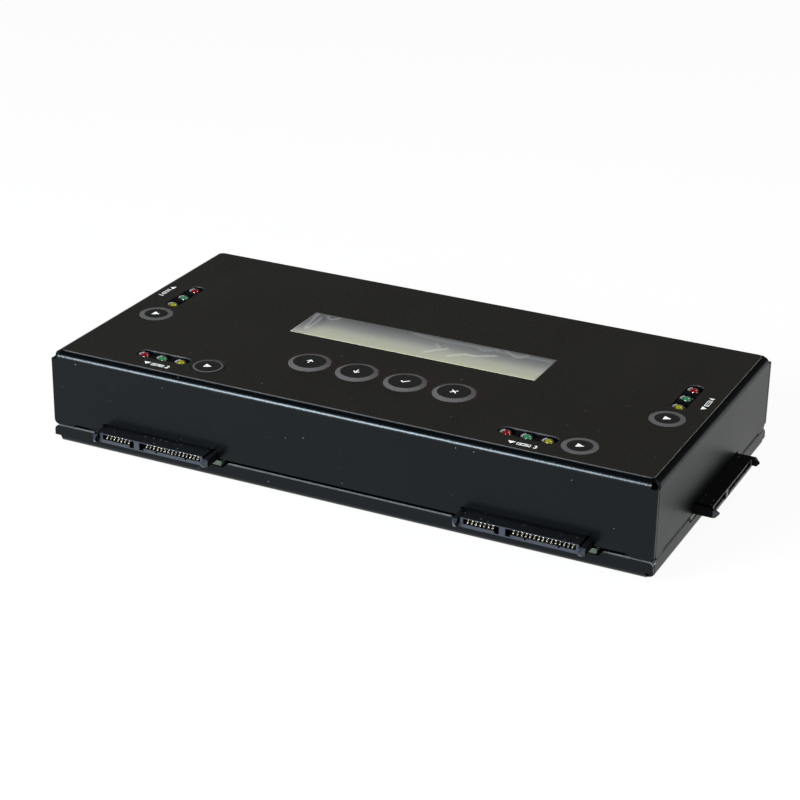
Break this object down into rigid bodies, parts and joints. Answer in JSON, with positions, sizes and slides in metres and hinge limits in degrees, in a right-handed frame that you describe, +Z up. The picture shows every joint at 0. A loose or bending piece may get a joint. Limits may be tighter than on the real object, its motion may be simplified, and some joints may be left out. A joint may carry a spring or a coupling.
{
  "type": "hard drive eraser",
  "caption": "Flat black desk box that wipes bare drives: keyed drive receptacles on front and sides, a display, round menu keys, start keys and coloured lamps on top.",
  "frame": {"origin": "on the desk, under the middle of the bounding box", "axes": "+X along the case to the right seen from the front, -Y the front with two receptacles, +Z up"},
  "size_m": [0.2108, 0.112, 0.0332],
  "materials": {
    "case_steel": "satin black powder coat",
    "overlay_film": "glossy dark film",
    "clear_pane": "clear",
    "display_glass": "grey-green display glass",
    "frame_steel": "black display frame",
    "light_guide": "milky",
    "board_green": "green solder mask",
    "zinc_steel": "bright zinc",
    "nylon": "natural nylon",
    "key_plastic": "grey rim, dark disc",
    "switch_plastic": "black",
    "port_plastic": "black moulded plastic",
    "contact_gold": "gold plated",
    "lamp_red": "tinted clear",
    "lamp_green": "tinted clear",
    "lamp_yellow": "tinted clear",
    "foot_rubber": "black rubber",
    "ferrite": "grey ferrite",
    "can": "bare can",
    "lead_cover": "red insulation"
  },
  "bodies": {
    "chassis": {"top_cover": "case_steel", "bottom_tray": "case_steel", "panel_overlay": "overlay_film", "display_window": "clear_pane", "peel_film": "clear_pane", "display_glass": "display_glass", "display_bezel": "frame_steel", "display_backlight": "light_guide", "main_board": "board_green", "panel_board": "board_green", "display_board": "board_green", "case_screws": "zinc_steel", "board_spacers": "zinc_steel", "board_columns": "zinc_steel", "cover_standoffs": "zinc_steel", "switch_blades": "zinc_steel", "inlet_pin": "zinc_steel", "display_rivets": "nylon", "lamp_collars": "nylon", "key_switches": "switch_plastic", "inlet_jack": "switch_plastic", "switch_frame": "switch_plastic", "controller_chips": "switch_plastic", "buzzer": "switch_plastic", "link_socket": "switch_plastic", "link_header": "switch_plastic", "port_1_housing": "port_plastic", "port_2_housing": "port_plastic", "port_3_housing": "port_plastic", "port_4_housing": "port_plastic", "display_pins": "contact_gold", "link_pins": "contact_gold", "port_1_contacts": "contact_gold", "port_2_contacts": "contact_gold", "port_3_contacts": "contact_gold", "port_4_contacts": "contact_gold", "red_lamps": "lamp_red", "green_lamps": "lamp_green", "yellow_lamps": "lamp_yellow", "rubber_feet": "foot_rubber", "power_coils": "ferrite", "filter_capacitors": "can", "switch_leads": "lead_cover"},
    "up_key": {"up_key": "key_plastic", "up_plunger": "switch_plastic"},
    "down_key": {"down_key": "key_plastic", "down_plunger": "switch_plastic"},
    "confirm_key": {"confirm_key": "key_plastic", "confirm_plunger": "switch_plastic"},
    "cancel_key": {"cancel_key": "key_plastic", "cancel_plunger": "switch_plastic"},
    "start_key_1": {"start_key_1": "key_plastic", "start_plunger_1": "switch_plastic"},
    "start_key_2": {"start_key_2": "key_plastic", "start_plunger_2": "switch_plastic"},
    "start_key_3": {"start_key_3": "key_plastic", "start_plunger_3": "switch_plastic"},
    "start_key_4": {"start_key_4": "key_plastic", "start_plunger_4": "switch_plastic"},
    "power_rocker": {"power_rocker": "switch_plastic"}
  },
  "joints": [
    {"name": "up_key_press", "type": "slide", "parent": "chassis", "child": "up_key", "axis": [0, 0, -1], "range_m": [0, 0.0003], "stiffness_N_per_m": 1000, "springref_m": -0.001},
    {"name": "down_key_press", "type": "slide", "parent": "chassis", "child": "down_key", "axis": [0, 0, -1], "range_m": [0, 0.0003], "stiffness_N_per_m": 1000, "springref_m": -0.001},
    {"name": "confirm_key_press", "type": "slide", "parent": "chassis", "child": "confirm_key", "axis": [0, 0, -1], "range_m": [0, 0.0003], "stiffness_N_per_m": 1000, "springref_m": -0.001},
    {"name": "cancel_key_press", "type": "slide", "parent": "chassis", "child": "cancel_key", "axis": [0, 0, -1], "range_m": [0, 0.0003], "stiffness_N_per_m": 1000, "springref_m": -0.001},
    {"name": "start_key_1_press", "type": "slide", "parent": "chassis", "child": "start_key_1", "axis": [0, 0, -1], "range_m": [0, 0.0003], "stiffness_N_per_m": 1000, "springref_m": -0.001},
    {"name": "start_key_2_press", "type": "slide", "parent": "chassis", "child": "start_key_2", "axis": [0, 0, -1], "range_m": [0, 0.0003], "stiffness_N_per_m": 1000, "springref_m": -0.001},
    {"name": "start_key_3_press", "type": "slide", "parent": "chassis", "child": "start_key_3", "axis": [0, 0, -1], "range_m": [0, 0.0003], "stiffness_N_per_m": 1000, "springref_m": -0.001},
    {"name": "start_key_4_press", "type": "slide", "parent": "chassis", "child": "start_key_4", "axis": [0, 0, -1], "range_m": [0, 0.0003], "stiffness_N_per_m": 1000, "springref_m": -0.001},
    {"name": "power_rocker_tilt", "type": "hinge", "parent": "chassis", "child": "power_rocker", "pos_m": [0.036, 0.05276, 0.016], "axis": [0, 0, 1], "range_deg": [-20, 0]}
  ]
}
